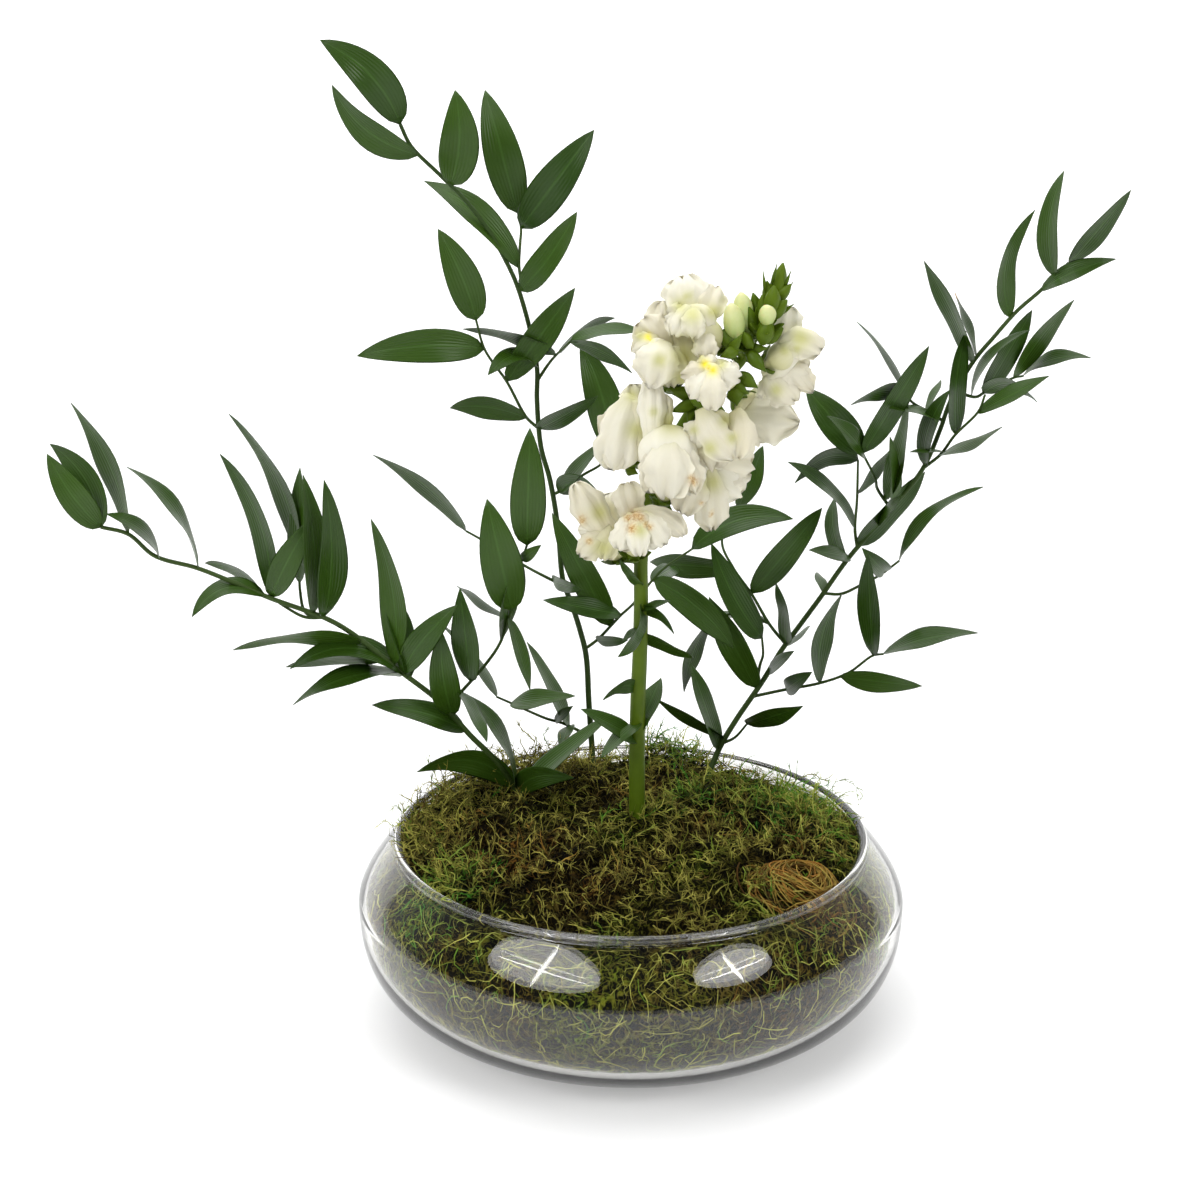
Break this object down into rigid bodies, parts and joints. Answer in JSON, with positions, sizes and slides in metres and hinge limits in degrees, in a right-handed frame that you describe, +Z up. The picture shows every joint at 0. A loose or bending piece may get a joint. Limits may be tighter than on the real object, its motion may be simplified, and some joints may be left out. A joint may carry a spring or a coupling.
{
  "type": "floral table centerpiece",
  "caption": "Low clear glass bowl packed with moss over floral foam, holding leafy ruscus branches and a white snapdragon stem.",
  "frame": {"origin": "middle of the bowl's flat foot, on the surface that it stands on", "axes": "+Z up along the bowl's axis; the front, which faces the viewer in the picture, is -Y; +X is to the viewer's right"},
  "size_m": [0.4857, 0.254, 0.4369],
  "materials": {
    "clear_glass": "polished",
    "floral_foam": "matt",
    "moss": "matt",
    "ruscus_leaf": "satin",
    "snapdragon_green": "satin",
    "pale_bud": "matt",
    "white_petal": "matt"
  },
  "bodies": {
    "root": {"glass_bowl": "clear_glass", "floral_foam": "floral_foam", "moss_bed": "moss", "ruscus_left": "ruscus_leaf", "ruscus_upright": "ruscus_leaf", "ruscus_right": "ruscus_leaf", "snapdragon_stem": "snapdragon_green", "bud_large": "pale_bud", "bud_left": "pale_bud", "bud_small": "pale_bud", "bloom_low_left": "white_petal", "bloom_low_front": "white_petal", "bloom_mid_left": "white_petal", "bloom_mid_front": "white_petal", "bloom_mid_right": "white_petal", "bloom_hooded": "white_petal", "bloom_right": "white_petal", "bloom_upper_left": "white_petal", "bloom_top": "white_petal", "bloom_upper_front": "white_petal", "bloom_upper_right": "white_petal"}
  },
  "joints": []
}
